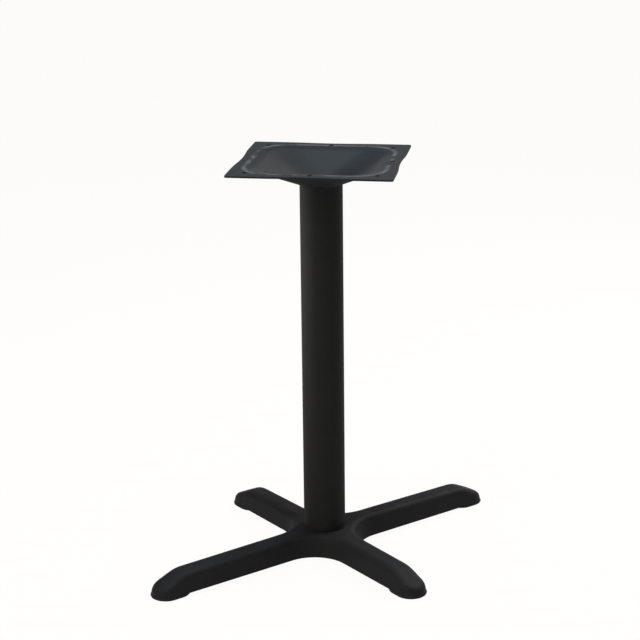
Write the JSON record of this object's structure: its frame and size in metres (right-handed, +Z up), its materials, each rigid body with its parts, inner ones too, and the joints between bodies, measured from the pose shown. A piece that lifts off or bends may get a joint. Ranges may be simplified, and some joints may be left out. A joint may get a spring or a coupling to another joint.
{
  "type": "x shaped pedestal table base",
  "caption": "Free-standing table base with an X-shaped cast foot, a round column and a dished square plate that a table top is screwed to.",
  "frame": {"origin": "on the floor at the column's axis", "axes": "+Z up along the column; X and Y along the sides of the top plate; the long arms lie along the diagonal at 45 degrees from +X, the short arms across it"},
  "size_m": [0.546, 0.546, 0.736],
  "materials": {
    "coated_iron": "satin black powder coat on cast iron",
    "coated_tube": "satin black powder coat on steel tube",
    "coated_sheet": "satin black powder coat on pressed steel",
    "zinc_steel": "bright zinc plate",
    "black_nylon": "moulded nylon"
  },
  "bodies": {
    "base": {"base_casting": "coated_iron", "column_tube": "coated_tube", "top_plate": "coated_sheet", "tie_rod": "zinc_steel", "top_washer": "zinc_steel", "top_lock_washer": "zinc_steel", "top_nut": "zinc_steel", "bottom_washer": "zinc_steel", "bottom_lock_washer": "zinc_steel", "bottom_nut": "zinc_steel"},
    "glide_front_left": {"glide_stud_front_left": "zinc_steel", "glide_foot_front_left": "black_nylon"},
    "glide_back_right": {"glide_stud_back_right": "zinc_steel", "glide_foot_back_right": "black_nylon"},
    "glide_front_right": {"glide_stud_front_right": "zinc_steel", "glide_foot_front_right": "black_nylon"},
    "glide_back_left": {"glide_stud_back_left": "zinc_steel", "glide_foot_back_left": "black_nylon"}
  },
  "joints": [
    {"name": "glide_height_front_left", "type": "slide", "parent": "base", "child": "glide_front_left", "axis": [0, 0, -1], "range_m": [0, 0.008]},
    {"name": "glide_height_back_right", "type": "slide", "parent": "base", "child": "glide_back_right", "axis": [0, 0, -1], "range_m": [0, 0.008]},
    {"name": "glide_height_front_right", "type": "slide", "parent": "base", "child": "glide_front_right", "axis": [0, 0, -1], "range_m": [0, 0.008]},
    {"name": "glide_height_back_left", "type": "slide", "parent": "base", "child": "glide_back_left", "axis": [0, 0, -1], "range_m": [0, 0.008]}
  ]
}
